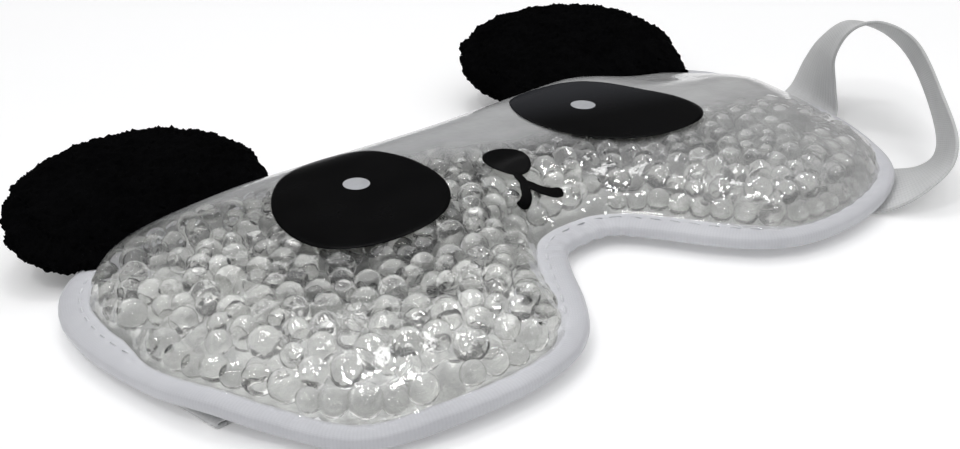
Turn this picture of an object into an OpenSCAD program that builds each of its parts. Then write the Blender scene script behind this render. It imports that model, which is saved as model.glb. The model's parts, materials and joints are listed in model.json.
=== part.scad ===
// Gel-bead eye mask with a panda face, plush ears and an elastic head strap.
//
// The mask lies face up. X runs to the viewer's right, Y runs up the face and Z points out of it.
// The origin is on the table under the nose, where the folded strap carries the mask.

/* [Face pad] */
// Width of the pad over its binding, tip to tip
pad_w = 202; // [190:1:214]
// Rise of the gel chamber above its flat rim
dome_h = 11.5; // [10:0.1:13]
// Width of the binding tape that shows on the face
binding_w = 6.5; // [5.5:0.5:8]
// Thickness of the binding tape
binding_t = 0.6; // [0.4:0.1:0.8]
// Thickness of the soft backing panel
backing_t = 1.0; // [0.6:0.1:1.4]
// Thickness of each clear film
film_t = 0.3; // [0.2:0.05:0.4]

/* [Gel beads] */
// Diameter of one gel bead
bead_d = 5.6; // [4.8:0.1:5.7]

/* [Ears] */
// Widest part of an ear
ear_w = 65; // [54:1:68]
// Height of an ear above its seam
ear_h = 38; // [34:1:44]
// Thickness of an ear at its middle
ear_t = 11; // [8:0.5:13]
// Distance of each ear's middle from the face's centre line
ear_x = 66; // [60:1:70]
// Tilt of the ears above the table
ear_tilt = 30; // [15:1:60]

/* [Strap] */
// Width of the elastic strap
strap_w = 25; // [20:1:26]
// Thickness of the elastic strap
strap_t = 1.0; // [0.8:0.1:1.2]

/* [Hidden] */

// Colours
white = [0.87, 0.88, 0.93];
clear = [0.80, 0.88, 0.90, 0.35];
black = [0.06, 0.06, 0.07];
grey = [0.66, 0.67, 0.68];

// Clearance between layers that lie on each other
gap = 0.05;
// The pad rests on two thicknesses of strap
tab_z = strap_t + 3 * gap;
pad_z = tab_z + strap_t + 0.45;
backing_z = pad_z + binding_t + gap;
back_film_z = backing_z + backing_t + gap;
flange_z = back_film_z + film_t + gap;
binding_top_z = flange_z + film_t + gap + binding_t;
film_top_z = flange_z + film_t;

// The pad's outline: half of it by points, from the nose notch round the lobe and tip to the brow
scale_w = pad_w / 202;
HALF = [[0, -27.5], [6.8, -29], [12.5, -37], [18.2, -47], [25, -55.7], [34, -60.7], [47, -62.2],
    [62, -59.6], [75.5, -52.6], [85.8, -39.4], [93.8, -23.5], [99, -5], [101, 10], [99.6, 24], [93, 35.8],
    [79, 44], [53, 48], [26, 47], [0, 46]] * scale_w;
PAD = concat(HALF, [for (i = [len(HALF) - 2:-1:1]) [-HALF[i][0], HALF[i][1]]]);
EDGE = smooth_loop(PAD, 3);
CHAMBER = inset(EDGE, binding_w + 0.7);
// Every direction from this point meets the chamber's rim once
hub = [0, 13] * scale_w;
// The film climbs over this distance from the rim, then runs level
dome_reach = 16;
RIM = [for (p = CHAMBER) [turn_of(p), norm(p - hub)]];
RIM_RADIUS = concat(RIM, [[RIM[0][0] + 360, RIM[0][1]]]);

// One row of lockstitches runs this far in from the pad's edge; each stitch is length, width, height
stitch_inset = 4.5;
stitch_step = 4.6;
stitch = [3.1, 0.5, 0.25];
// Room left under every thread
thread_gap = 0.02;

// Strap swing axis, through both sewn ends
swing_y = 3.7;
swing_z = tab_z + strap_t / 2;
run_y = swing_y - 0.3 - strap_w / 2;
right_seam = [98.2, -8.5] * scale_w;
right_seam_turn = -18;
left_fold_x = -93.6 * scale_w;

// ---- Curves ----

function catmull(a, b, c, d, t) =
    0.5 * (2 * b + (c - a) * t + (2 * a - 5 * b + 4 * c - d) * t * t + (3 * b - a - 3 * c + d) * t * t * t);

function smooth_loop(p, n) = [for (i = [0:len(p) - 1], j = [0:n - 1])
    catmull(p[(i + len(p) - 1) % len(p)], p[i], p[(i + 1) % len(p)], p[(i + 2) % len(p)], j / n)];

function smooth_path(p, n) = concat([for (i = [0:len(p) - 2], j = [0:n - 1])
    catmull(p[max(i - 1, 0)], p[i], p[i + 1], p[min(i + 2, len(p) - 1)], j / n)], [p[len(p) - 1]]);

// A closed outline, each point moved inwards by d
function inset(p, d) = [for (i = [0:len(p) - 1])
    let (t = p[(i + 1) % len(p)] - p[(i + len(p) - 1) % len(p)]) p[i] + d / norm(t) * [-t[1], t[0]]];

// Length of a closed outline up to each of its points
function lengths(p, i = 0, sum = 0) =
    i > len(p) ? [] : concat([sum], lengths(p, i + 1, sum + norm(p[(i + 1) % len(p)] - p[i % len(p)])));

// Direction from the hub, counted anticlockwise from the notch
function turn_of(p) = (atan2(p[1] - hub[1], p[0] - hub[0]) + 450) % 360;

// ---- Dome ----

// Rise of the gel chamber's film over the flat rim at a place on the face
function rise(p) = in_chamber(p) ? swell(rim_distance(p), p[0]) : 0;

function in_chamber(p) = norm(p - hub) < 0.9999 * lookup(turn_of(p), RIM_RADIUS);

function rim_distance(p) = min([for (i = [0:len(CHAMBER) - 1])
    let (a = CHAMBER[i], s = CHAMBER[(i + 1) % len(CHAMBER)] - a, t = (p - a) * s / (s * s))
    norm(p - a - max(0, min(1, t)) * s)]);

// Rise at a distance d from the rim and x from the centre line; the chamber thins towards its tips
function swell(d, x) =
    dome_h * (1 - 0.2 * pow(abs(x) / (pad_w / 2), 3)) * pow(1 - pow(1 - min(d, dome_reach) / dome_reach, 2), 0.75);

function on_film(p, lift) = [p[0], p[1], film_top_z + rise(p) + lift];

// ---- Solids from rings of points ----

// Rings run round an open tube; a pole closes each end, or the last ring joins the first
module ring_solid(rings, poles = []) {
    n = len(rings[0]);
    m = len(rings);
    last = len(poles) == 2 ? m - 2 : m - 1;
    points = concat([for (r = rings, p = r) p], poles);
    sides = [for (j = [0:last], i = [0:n - 1])
        let (a = j * n + i, b = j * n + (i + 1) % n, c = ((j + 1) % m) * n + (i + 1) % n, d = ((j + 1) % m) * n + i)
        each [[a, b, c], [a, c, d]]];
    caps = len(poles) < 2 ? [] : [for (i = [0:n - 1])
        each [[m * n, (i + 1) % n, i], [m * n + 1, (m - 1) * n + i, (m - 1) * n + (i + 1) % n]]];
    polyhedron(points, concat(sides, caps), convexity = 6);
}

// ---- Face pad ----

module flat_ring(outer, inner, z, h) {
    translate([0, 0, z])
    linear_extrude(h)
    difference() {
        polygon(inset(EDGE, outer));
        polygon(inset(EDGE, inner));
    }
}

// Tape folded over the rim: a leg on the face, a leg on the back and the fold between them
module binding_tape() {
    color(white) {
        difference() {
            flat_ring(0, binding_w, pad_z, binding_top_z - pad_z);
            flat_ring(binding_t, binding_w + 1, pad_z + binding_t, binding_top_z - pad_z - 2 * binding_t);
        }
    }
}

// One row of lockstitches along the middle of the tape, on both sides
module binding_stitches() {
    seam = inset(EDGE, stitch_inset);
    run = lengths(seam);
    total = run[len(seam)];
    count = round(total / stitch_step);
    steps = [for (i = [0:len(run) - 1]) [run[i], i]];
    color(white) {
        for (k = [0:count - 1]) {
            at = lookup((k + 0.5) * total / count, steps);
            i = floor(at) % len(seam);
            a = seam[i];
            b = seam[(i + 1) % len(seam)];
            spot = a + (b - a) * (at - floor(at));
            for (z = [pad_z - stitch[2] - thread_gap, binding_top_z + thread_gap]) {
                translate([spot[0], spot[1], z])
                rotate(atan2(b[1] - a[1], b[0] - a[0]))
                translate([-stitch[0] / 2, -stitch[1] / 2, 0])
                cube(stitch);
            }
        }
    }
}

module backing_panel() {
    color(white) {
        translate([0, 0, backing_z]) linear_extrude(backing_t) polygon(inset(EDGE, 1.0));
    }
}

module back_film() {
    color(clear) {
        translate([0, 0, back_film_z]) linear_extrude(film_t) polygon(inset(EDGE, 1.4));
    }
}

// Clear film welded to the back film round a flat flange, blown up into a dome between
module front_film() {
    steps = [0, 0.02, 0.05, 0.1, 0.17, 0.27, 0.4, 0.55, 0.72, 0.88];
    shapes = [for (s = steps) [for (p = CHAMBER) p + (hub - p) * s]];
    outer = concat([inset(EDGE, 1.4)], shapes);
    top = [for (ring = outer) [for (p = ring) on_film(p, 0)]];
    under = [for (ring = outer) [for (p = ring) on_film(p, -film_t)]];
    rings = concat([for (j = [len(top) - 1:-1:0]) top[j]], under);
    color(clear) ring_solid(rings, [on_film(hub, 0), on_film(hub, -film_t)]);
}

// ---- Gel beads ----

// Two close-packed layers; a bead is left out where the film comes too low for it
function bead_fits(p, z) = let (d = rim_distance(p)) min([for (u = [0, 0.35, 0.6, 0.8, 0.95, 1])
    let (reach = d - u * bead_d / 2)
    reach <= 0 ? -1 : flange_z + swell(reach, p[0]) - z - bead_d / 2 * sqrt(1 - u * u)]) > 0.1;

module gel_beads() {
    rows = 12;
    columns = 18;
    pitch = bead_d + 0.15;
    row = pitch * sin(60);
    color(clear) {
        for (layer = [0, 1]) {
            z = flange_z + gap + bead_d / 2 + layer * pitch * sqrt(2 / 3);
            for (j = [-rows:1:rows], i = [-columns:1:columns]) {
                spot = [(i + (j % 2 == 0 ? 0 : 0.5) + layer / 2) * pitch, (j + layer / 3) * row - 6];
                if (in_chamber(spot) && bead_fits(spot, z)) {
                    translate([spot[0], spot[1], z]) sphere(d = bead_d, $fn = 24);
                }
            }
        }
    }
}

// ---- Printed face ----

print_t = 0.12;
print_lift = 0.03;

// A thin print on the film between an inner and an outer outline of the same number of points
module printed_band(inner, outer) {
    steps = [0, 0.25, 0.5, 0.75, 1];
    shapes = [for (s = steps) [for (i = [0:len(inner) - 1]) inner[i] + (outer[i] - inner[i]) * s]];
    top = [for (ring = shapes) [for (p = ring) on_film(p, print_lift + print_t)]];
    under = [for (j = [len(shapes) - 1:-1:0]) [for (p = shapes[j]) on_film(p, print_lift)]];
    color(black) ring_solid(concat(top, under));
}

module printed_disc(middle, outer) {
    steps = [0.34, 0.67, 1];
    shapes = [for (s = steps) [for (p = outer) middle + (p - middle) * s]];
    top = [for (ring = shapes) [for (p = ring) on_film(p, print_lift + print_t)]];
    under = [for (j = [len(shapes) - 1:-1:0]) [for (p = shapes[j]) on_film(p, print_lift)]];
    color(black) {
        ring_solid(concat(top, under), [on_film(middle, print_lift + print_t), on_film(middle, print_lift)]);
    }
}

function oval(middle, rx, ry, n) = [for (i = [0:n - 1]) middle + [rx * cos(360 * i / n), ry * sin(360 * i / n)]];

// Leaning egg round the eye, with a clear oval left open as its highlight
module eye_patch(side) {
    egg = smooth_loop([[57, -3], [54.5, -11.5], [47, -17], [37, -18], [27.5, -14.5], [20.5, -6], [17.5, 5],
        [18, 17], [22.5, 27], [30, 31.5], [38.5, 30.5], [46, 25.5], [52, 17.5], [56, 7.5]] * scale_w, 4);
    window = [34, 11] * scale_w;
    outline = [for (p = egg) [side * p[0], p[1]]];
    hole = [for (p = egg) let (d = p - window, u = d / norm(d))
        [side * (window[0] + 2.8 * u[0]), window[1] + 3.4 * u[1]]];
    order = side < 0 ? [0:len(egg) - 1] : [len(egg) - 1:-1:0];
    printed_band([for (i = order) hole[i]], [for (i = order) outline[i]]);
}

module left_eye_patch() {
    eye_patch(-1);
}

module right_eye_patch() {
    eye_patch(1);
}

// The nose and mouth are printed a little to one side
nose = [-0.8, -2] * scale_w;
mouth_x = -2;

module nose_print() {
    printed_disc(nose, oval(nose, 5.4, 5.8, 32));
}

// A stroke of even width with round ends along a path
function stroke(path, w) =
    let (n = len(path) - 1,
        dirs = [for (i = [0:n]) let (t = path[min(i + 1, n)] - path[max(i - 1, 0)]) t / norm(t)],
        left = [for (i = [0:n]) path[i] + w / 2 * [-dirs[i][1], dirs[i][0]]],
        right = [for (i = [n:-1:0]) path[i] + w / 2 * [dirs[i][1], -dirs[i][0]]])
    [left, right];

module printed_stroke(path, w) {
    sides = stroke(path, w);
    n = len(path) - 1;
    rows = [for (i = [0:n]) [sides[0][i], path[i], sides[1][n - i]]];
    rings = [for (row = rows) concat([for (p = row) on_film(p, print_lift + print_t)],
        [for (k = [2:-1:0]) on_film(row[k], print_lift)])];
    middles = [for (i = [0, n]) let (away = path[i] - path[i == 0 ? 1 : n - 1])
        on_film(path[i] + w / 2 * away / norm(away), print_lift + print_t / 2)];
    color(black) ring_solid(rings, middles);
}

module mouth_print() {
    stem = [for (y = [-8.3:-0.4:-9.9]) [mouth_x, y]] * scale_w;
    half = [[6.2, -15.6], [4.4, -15.2], [2.4, -13.6]];
    curl = smooth_path(concat([for (p = half) [mouth_x - p[0], p[1]]], [[mouth_x, -11]],
        [for (i = [2:-1:0]) [mouth_x + half[i][0], half[i][1]]]) * scale_w, 4);
    printed_stroke(stem, 2.2);
    printed_stroke(curl, 2.2);
}

// ---- Ears ----

// Ear outline in its own plane: x along the seam, y away from it
EAR = smooth_loop([for (p = [[-20, 0.8], [-26, 6], [-29.5, 16], [-27, 27], [-19, 36.5], [-7, 41.3], [6, 41.6],
    [18, 37.2], [26.5, 28], [29.5, 16.5], [26.5, 6.5], [20, 0.8], [8, 0.6], [-8, 0.6]])
    [-p[0] * ear_w / 59, p[1] * ear_h / 42]], 3);
ear_hub = [0, 18];
ear_seam_y = 49.6 * scale_w;
ear_seam_z = pad_z + 1.6;
ear_yaw = 12;

// Puts ear pieces on the seam of the left (-1) or the right (1) ear
module ear_place(side, tilt) {
    translate([side * ear_x * scale_w, ear_seam_y, ear_seam_z])
    rotate([0, 0, -side * ear_yaw])
    rotate([tilt, 0, 0])
    children();
}

function ear_bulge(rho) = sqrt(max(0, 1 - pow(rho, 2.4)));

module ear_lens(high, low, reach, base_high, base_low) {
    steps = [0.2, 0.4, 0.6, 0.75, 0.88, 0.96, 1];
    shapes = [for (s = steps) [for (p = EAR) ear_hub + (p - ear_hub) * s * reach]];
    top = [for (j = [0:len(steps) - 1]) [for (p = shapes[j]) [p[0], p[1], base_high + high * ear_bulge(steps[j])]]];
    under = [for (j = [len(steps) - 1:-1:0]) [for (p = shapes[j]) [p[0], p[1], base_low + low * ear_bulge(steps[j])]]];
    poles = [[ear_hub[0], ear_hub[1], base_high + high], [ear_hub[0], ear_hub[1], base_low + low]];
    ring_solid(concat(top, under), poles);
}

ear_half = ear_t / 2;
plush_t = 1.1;

module ear_front(side) {
    color(black) ear_place(side, ear_tilt) ear_lens(ear_half - 0.9, ear_half - 0.9 - plush_t, 1, 0.9, 0.1);
}

module ear_back(side) {
    color(black) {
        ear_place(side, ear_tilt) {
            ear_lens(plush_t + 0.9 - ear_half, 0.9 - ear_half, 1, -0.1, -0.9);
        }
    }
}

module ear_filling(side) {
    inner = ear_half - plush_t - 1.2;
    color([0.93, 0.93, 0.92]) ear_place(side, ear_tilt) ear_lens(inner, -inner, 0.93, 0.05, -0.05);
}

// Flat end of the ear's plush, caught under the binding
tab = [38, 8, strap_t];
tab_y = -9.3;
tab_low = tab_z + 0.1;

module ear_tab(side) {
    color(black) {
        ear_place(side, 0) {
            translate([-tab[0] / 2, tab_y, tab_low - ear_seam_z]) cube(tab);
        }
    }
}

module ear_stitches(side) {
    step = 4;
    short = [2.6, stitch[1], stitch[2]];
    low = tab_low - stitch[2] - thread_gap;
    color(black) {
        ear_place(side, 0) {
            for (i = [-4:1:4]) {
                translate([i * step - short[0] / 2, tab_y + tab[1] / 2, low - ear_seam_z]) cube(short);
            }
        }
    }
}

module left_ear_front() {
    ear_front(-1);
}

module left_ear_back() {
    ear_back(-1);
}

module left_ear_filling() {
    ear_filling(-1);
}

module left_ear_tab() {
    ear_tab(-1);
}

module left_ear_stitches() {
    ear_stitches(-1);
}

module right_ear_front() {
    ear_front(1);
}

module right_ear_back() {
    ear_back(1);
}

module right_ear_filling() {
    ear_filling(1);
}

module right_ear_tab() {
    ear_tab(1);
}

module right_ear_stitches() {
    ear_stitches(1);
}

// ---- Strap ----

// Direction across the band: yaw from +Y towards +X, then dip
function across(yaw, dip) = [sin(yaw) * cos(dip), cos(yaw) * cos(dip), -sin(dip)];

// The band's middle line, each place followed by the yaw and dip of the band's width there
lie = strap_t / 2;
STRAP = concat([[right_seam[0] + 0.5, right_seam[1] - 0.2, swing_z, -right_seam_turn, 0]],
    [[103.6, -8.2, 4.2, 24, 0], [105.8, -7.8, 11, 34, 2], [106.4, -9.4, 18.5, 45, 6], [109, -14, 24.8, 52, 11],
    [111.8, -22, 25.4, 57, 21], [109.5, -33, 22, 54, 25], [100, -46.4, 14.8, 52, 22], [88, -58, 8.8, 50, 22],
    [79, -59.8, 4.8, 50, 16], [70, -52.5, lie + 0.5, 52, 1.5], [56, -35, lie, 46, 0], [40, -20, lie, 30, 0],
    [22, run_y - 2, lie, 10, 0], [4, run_y, lie, 0, 0]]);

module elastic_strap() {
    path = smooth_path(STRAP, 5);
    stations = concat(path, [[left_fold_x + 1.5, run_y, lie, 0, 0]]);
    n = len(stations) - 1;
    middles = [for (s = stations) [s[0], s[1], s[2]]];
    rings = [for (i = [0:n])
        let (w = across(stations[i][3], stations[i][4]),
            t = middles[min(i + 1, n)] - middles[max(i - 1, 0)],
            up = cross(t, w) / norm(cross(t, w)))
        [for (c = [[1, 1], [-1, 1], [-1, -1], [1, -1]])
            middles[i] + c[0] * strap_w / 2 * w + c[1] * strap_t / 2 * up]];
    color(grey) ring_solid(rings, [middles[0], middles[n]]);
}

module left_strap_end() {
    r = (tab_z + strap_t) / 2;
    sewn = 9;
    color(grey) {
        translate([left_fold_x, run_y + strap_w / 2, 0])
        rotate([90, 0, 0])
        linear_extrude(strap_w) {
            difference() {
                union() {
                    translate([0, r]) circle(r, $fn = 48);
                    translate([0, 2 * r - strap_t]) square([sewn, strap_t]);
                    square([1, strap_t]);
                }
                translate([0, r]) circle(r - strap_t, $fn = 48);
                translate([0, strap_t]) square([sewn, 2 * r - 2 * strap_t]);
            }
        }
    }
}

module right_strap_end() {
    sewn = 9;
    color(grey) {
        translate([right_seam[0], right_seam[1], tab_z])
        rotate(right_seam_turn)
        translate([-sewn, -strap_w / 2, 0])
        cube([sewn, strap_w, strap_t]);
    }
}

// Dense zigzag that holds a strap end, sewn across the band
module bartack(x, y, turn) {
    lean = 28;
    thread = [2.4, 0.4, 0.1];
    pitch = 1.6;
    count = floor((strap_w - 3) / pitch);
    color(white) {
        for (i = [0:count - 1]) {
            translate([x, y, tab_z - thread[2] - thread_gap / 2])
            rotate(turn)
            translate([0, (i - (count - 1) / 2) * pitch, 0])
            rotate(i % 2 == 0 ? lean : -lean)
            translate([-thread[0] / 2, -thread[1] / 2, 0])
            cube(thread);
        }
    }
}

module left_strap_bartack() {
    bartack(left_fold_x + 5.5, run_y, 0);
}

module right_strap_bartack() {
    bartack(right_seam[0] - 5, right_seam[1] + 1.5, right_seam_turn);
}

binding_tape();
binding_stitches();
backing_panel();
back_film();
front_film();
gel_beads();
left_eye_patch();
right_eye_patch();
nose_print();
mouth_print();
left_ear_front();
left_ear_back();
left_ear_filling();
left_ear_tab();
left_ear_stitches();
right_ear_front();
right_ear_back();
right_ear_filling();
right_ear_tab();
right_ear_stitches();
elastic_strap();
left_strap_end();
right_strap_end();
left_strap_bartack();
right_strap_bartack();
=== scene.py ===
"""Looks of the gel bead eye mask: film, beads, printed face, binding, plush ears and elastic strap.

Shapes are worked out in millimetres in the part's own frame and turned into metres when a mesh is made.
"""

import json
import math

import bpy
import numpy as np
from mathutils import Matrix, Vector, noise


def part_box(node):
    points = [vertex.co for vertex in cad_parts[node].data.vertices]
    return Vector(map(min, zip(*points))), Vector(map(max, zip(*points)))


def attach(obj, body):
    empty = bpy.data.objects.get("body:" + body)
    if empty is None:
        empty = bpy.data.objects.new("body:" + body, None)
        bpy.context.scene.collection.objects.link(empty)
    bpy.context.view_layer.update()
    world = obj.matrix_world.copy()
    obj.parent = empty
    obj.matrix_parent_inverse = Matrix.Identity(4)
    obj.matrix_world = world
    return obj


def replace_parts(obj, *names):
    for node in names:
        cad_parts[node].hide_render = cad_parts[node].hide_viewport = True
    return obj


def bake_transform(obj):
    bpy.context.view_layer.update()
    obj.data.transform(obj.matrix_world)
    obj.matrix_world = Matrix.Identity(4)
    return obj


MM = 0.001
UP = np.array([0.0, 0.0, 1.0])

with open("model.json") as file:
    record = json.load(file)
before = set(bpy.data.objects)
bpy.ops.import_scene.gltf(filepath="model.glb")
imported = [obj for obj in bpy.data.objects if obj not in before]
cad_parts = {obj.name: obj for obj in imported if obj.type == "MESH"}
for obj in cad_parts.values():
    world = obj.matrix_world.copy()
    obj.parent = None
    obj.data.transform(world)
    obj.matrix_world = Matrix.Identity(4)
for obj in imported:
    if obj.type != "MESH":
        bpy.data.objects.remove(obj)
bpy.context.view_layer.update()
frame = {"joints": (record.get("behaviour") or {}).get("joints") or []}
rng = np.random.default_rng(11)


def box_mm(node):
    low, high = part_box(node)
    return np.array(low) / MM, np.array(high) / MM


# ---- Sizes read from the frame ----

TAPE_LOW, TAPE_HIGH = box_mm("binding_tape")
SCALE = (TAPE_HIGH[0] - TAPE_LOW[0]) / 202
PAD_BOTTOM, PAD_TOP = TAPE_LOW[2], TAPE_HIGH[2]
FILM_LOW, FILM_HIGH = box_mm("front_film")
FILM_T = 0.3
FLANGE_TOP = FILM_LOW[2] + FILM_T
DOME_H = FILM_HIGH[2] - FLANGE_TOP
BACK_FILM_TOP = box_mm("back_film")[1][2]
BINDING_W = 6.5
STITCH_INSET = 4.5
STITCH_STEP = 4.6
CHAMBER_INSET = BINDING_W + 0.1


# ---- Curves ----


def catmull(points, steps, closed):
    p = np.asarray(points, float)
    n = len(p)
    out = []
    for i in range(n if closed else n - 1):
        ends = [i - 1, i, i + 1, i + 2]
        a, b, c, d = [p[k % n] if closed else p[min(max(k, 0), n - 1)] for k in ends]
        for t in np.arange(steps) / steps:
            out.append(
                0.5
                * (
                    2 * b
                    + (c - a) * t
                    + (2 * a - 5 * b + 4 * c - d) * t**2
                    + (3 * b - a - 3 * c + d) * t**3
                )
            )
    if not closed:
        out.append(p[-1])
    return np.array(out)


def inset(loop, d):
    """A closed anticlockwise outline, each point moved inwards by d."""
    t = np.roll(loop, -1, 0) - np.roll(loop, 1, 0)
    t /= np.linalg.norm(t, axis=1)[:, None]
    return loop + d * np.stack([-t[:, 1], t[:, 0]], 1)


def resample(points, step, closed):
    """Evenly spaced points along a line, and their distances along it."""
    p = np.vstack([points, points[:1]]) if closed else points
    run = np.concatenate([[0], np.cumsum(np.linalg.norm(np.diff(p, axis=0), axis=1))])
    n = max(3, int(round(run[-1] / step)))
    at = np.arange(n) * run[-1] / n if closed else np.linspace(0, run[-1], n + 1)
    return np.stack([np.interp(at, run, p[:, k]) for k in range(p.shape[1])], 1), at, run[-1]


def smoothstep(x):
    x = np.clip(x, 0, 1)
    return x * x * (3 - 2 * x)


HALF = np.array(
    [[0, -27.5], [6.8, -29], [12.5, -37], [18.2, -47], [25, -55.7], [34, -60.7], [47, -62.2],
     [62, -59.6], [75.5, -52.6], [85.8, -39.4], [93.8, -23.5], [99, -5], [101, 10], [99.6, 24],
     [93, 35.8], [79, 44], [53, 48], [26, 47], [0, 46]]
) * SCALE
PAD_POINTS = np.vstack([HALF, HALF[-2:0:-1] * [-1, 1]])
EDGE = resample(catmull(PAD_POINTS, 12, True), 1.5, True)[0]
CHAMBER = inset(EDGE, CHAMBER_INSET)


def inside(loop, p):
    a, b = loop, np.roll(loop, -1, 0)
    hit = np.zeros(len(p), bool)
    for (ax, ay), (bx, by) in zip(a, b):
        if ay == by:
            continue
        crosses = (ay > p[:, 1]) != (by > p[:, 1])
        hit ^= crosses & (p[:, 0] < (bx - ax) * (p[:, 1] - ay) / (by - ay) + ax)
    return hit


def distance(loop, p):
    """Signed distance to a closed outline, positive inside."""
    best = np.full(len(p), 1e9)
    for a, b in zip(loop, np.roll(loop, -1, 0)):
        s = b - a
        t = np.clip(((p - a) @ s) / (s @ s), 0, 1)
        best = np.minimum(best, np.hypot(*(p - a - t[:, None] * s).T))
    return np.where(inside(loop, p), best, -best)


# ---- Height of the film, kept on a fine grid ----

CELL = 0.5
GRID_X = np.arange(-104, 104 + CELL, CELL)
GRID_Y = np.arange(-66, 54 + CELL, CELL)
DOME_REACH = 17
BROW_SKEW = 0.375
WALL_REACH = 4
BRIDGE_REACH = 26
BULGE = 2.4


def blur(field, sigma):
    reach = int(3 * sigma / CELL) + 1
    k = np.exp(-0.5 * (np.arange(-reach, reach + 1) * CELL / sigma) ** 2)
    k /= k.sum()
    for axis in (0, 1):
        field = np.apply_along_axis(lambda r: np.convolve(np.pad(r, reach, "edge"), k, "valid"), axis, field)
    return field


def sample(field, p):
    """Value of a grid field at places on the face."""
    u = np.clip((p[:, 0] - GRID_X[0]) / CELL, 0, len(GRID_X) - 1.001)
    v = np.clip((p[:, 1] - GRID_Y[0]) / CELL, 0, len(GRID_Y) - 1.001)
    i, j = u.astype(int), v.astype(int)
    u, v = u - i, v - j
    return (
        field[j, i] * (1 - u) * (1 - v)
        + field[j, i + 1] * u * (1 - v)
        + field[j + 1, i] * (1 - u) * v
        + field[j + 1, i + 1] * u * v
    )


grid_points = np.stack(np.meshgrid(GRID_X, GRID_Y), -1).reshape(-1, 2)
rim_gap = distance(CHAMBER, grid_points).reshape(len(GRID_Y), len(GRID_X))


# Along the front of both lobes the pouch bulges outwards and rolls the binding's top leaf down
low_enough = np.where(GRID_X[None, :] < 0, 2 - GRID_Y[:, None], -30 - GRID_Y[:, None]) / 15
front = smoothstep(low_enough) * smoothstep((np.abs(GRID_X) - 22) / 12)[None, :]
pouch_gap = rim_gap + BULGE * front


def climb(reach):
    return (1 - (1 - np.clip(pouch_gap, 0, reach) / reach) ** 2) ** 0.75


# The wall stands up at the rim, then the film climbs on more gently; it sinks where the gel has run away from
# the right of the brow
thinning = 1 - 0.2 * (np.abs(GRID_X) / (101 * SCALE)) ** 3
limp = smoothstep((GRID_X[None, :] - 46) / 32) * smoothstep((GRID_Y[:, None] + 2) / 28)
sunk = 0.46 * limp
bridge = np.exp(-((GRID_X / 17) ** 2))[None, :] * smoothstep((4 - GRID_Y) / 16)[:, None]
wall = 0.42 + 0.12 * front - 0.34 * limp
full = wall * climb(WALL_REACH) + (1 - wall) * climb(DOME_REACH)
rise = (DOME_H - 0.3) * thinning[None, :] * (full + (climb(BRIDGE_REACH) - full) * bridge)
DOME = blur(FLANGE_TOP + rise * (1 - sunk), 0.7)
# Towards the brow the film stands clear of the beads
slack = smoothstep((GRID_Y[:, None] + BROW_SKEW * GRID_X[None, :] - 4) / 20)
LID = DOME - FILM_T - 1.3 * slack


# ---- Gel beads, settled by pushing them apart under the film ----

BEAD_COUNT = 960
BEAD_R = (2.2, 3.35)


def settle_beads():
    floor_z = BACK_FILM_TOP + 0.05
    spots = np.empty((0, 2))
    while len(spots) < BEAD_COUNT:
        tries = rng.uniform([-98, -62], [98, 46], (4000, 2))
        spots = np.vstack([spots, tries[sample(pouch_gap, tries) > 2.2]])
    spots = spots[:BEAD_COUNT]
    r = rng.uniform(*BEAD_R, BEAD_COUNT)
    top = sample(LID, spots) - r
    low = floor_z + r
    z = low + rng.random(BEAD_COUNT) * np.maximum(top - low, 0)
    c = np.column_stack([spots, z])
    slope_y, slope_x = np.gradient(DOME, CELL)
    for _ in range(160):
        apart = c[:, None, :] - c[None, :, :]
        d = np.linalg.norm(apart, axis=2)
        np.fill_diagonal(d, 1e9)
        over = np.clip(r[:, None] + r[None, :] - d, 0, None)
        c += 0.45 * (apart / np.maximum(d, 1e-6)[:, :, None] * over[:, :, None]).sum(1)
        for _ in range(2):
            place = c[:, :2]
            n = np.stack([-sample(slope_x, place), -sample(slope_y, place), np.ones(len(c))], 1)
            n /= np.linalg.norm(n, axis=1)[:, None]
            room = (sample(LID, place) - c[:, 2]) * n[:, 2] - r
            c += n * np.minimum(room, 0)[:, None]
            c[:, 2] = np.maximum(c[:, 2], floor_z + r)
    # Beads still squeezed out of the pouch or into a neighbour are left out
    room = (sample(LID, c[:, :2]) - c[:, 2]) * n[:, 2] - r
    d = np.linalg.norm(c[:, None, :] - c[None, :, :], axis=2)
    np.fill_diagonal(d, 1e9)
    crowded = ((r[:, None] + r[None, :] - d) > 0.9) & (np.arange(len(c))[:, None] > np.arange(len(c))[None, :])
    keep = (room > -0.25) & ~crowded.any(1)
    return c[keep], r[keep]


bead_at, bead_r = settle_beads()


def bead_tops():
    """Highest bead surface over each place of the grid."""
    field = np.full((len(GRID_Y), len(GRID_X)), -1.0)
    for (x, y, z), r in zip(bead_at, bead_r):
        i0, i1 = np.searchsorted(GRID_X, [x - r, x + r])
        j0, j1 = np.searchsorted(GRID_Y, [y - r, y + r])
        gx, gy = np.meshgrid(GRID_X[i0:i1], GRID_Y[j0:j1])
        cap = r**2 - (gx - x) ** 2 - (gy - y) ** 2
        patch = np.where(cap > 0, z + np.sqrt(np.maximum(cap, 0)), -1.0)
        field[j0:j1, i0:i1] = np.maximum(field[j0:j1, i0:i1], patch)
    return field


# The film lies tight on the beads below and bridges them smoothly towards the brow
tight = smoothstep((24 - GRID_Y) / 40)[:, None]
tops = bead_tops() + FILM_T + 0.08
sag = DOME - 0.75 * tight * smoothstep(pouch_gap / 5)
FILM = np.maximum(sag, np.where(pouch_gap > 0, tops, 0))
FILM = np.maximum(blur(FILM, 0.55), blur(tops, 0.35) * (pouch_gap > 1))
FILM = np.maximum(blur(FILM, 0.45), np.where(pouch_gap > 1, tops - 0.03, 0))


# ---- Meshes ----


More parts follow.
